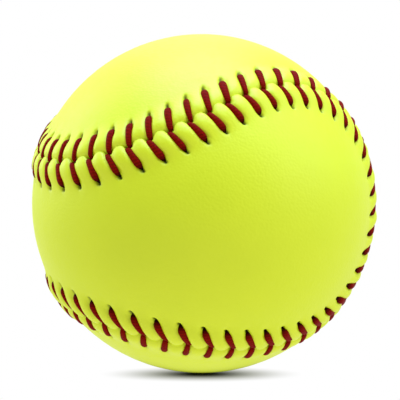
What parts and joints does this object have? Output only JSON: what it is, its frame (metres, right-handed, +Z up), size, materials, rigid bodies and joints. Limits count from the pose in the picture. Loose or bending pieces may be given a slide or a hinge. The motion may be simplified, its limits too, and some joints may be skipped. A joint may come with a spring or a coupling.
{
  "type": "softball",
  "caption": "Ball for bat-and-ball play: laced figure-eight cover panels with a raised thread seam over a yarn-wound, moulded core.",
  "frame": {"origin": "centre of the ball", "axes": "+Z up as the ball lies in the picture, +X to the right of the picture, the viewer on -Y; the waist of one cover panel is on the right and that of the other on the left"},
  "size_m": [0.0983, 0.097, 0.097],
  "materials": {
    "core_polyurethane": "matte moulded polyurethane",
    "winding_yarn": "matte wound poly-cotton yarn",
    "cover_leather": "satin optic-yellow synthetic leather",
    "lacing_thread": "waxed crimson thread"
  },
  "bodies": {
    "root": {"core": "core_polyurethane", "yarn_winding": "winding_yarn", "right_cover_panel": "cover_leather", "left_cover_panel": "cover_leather", "first_lacing_thread": "lacing_thread", "second_lacing_thread": "lacing_thread"}
  },
  "joints": []
}
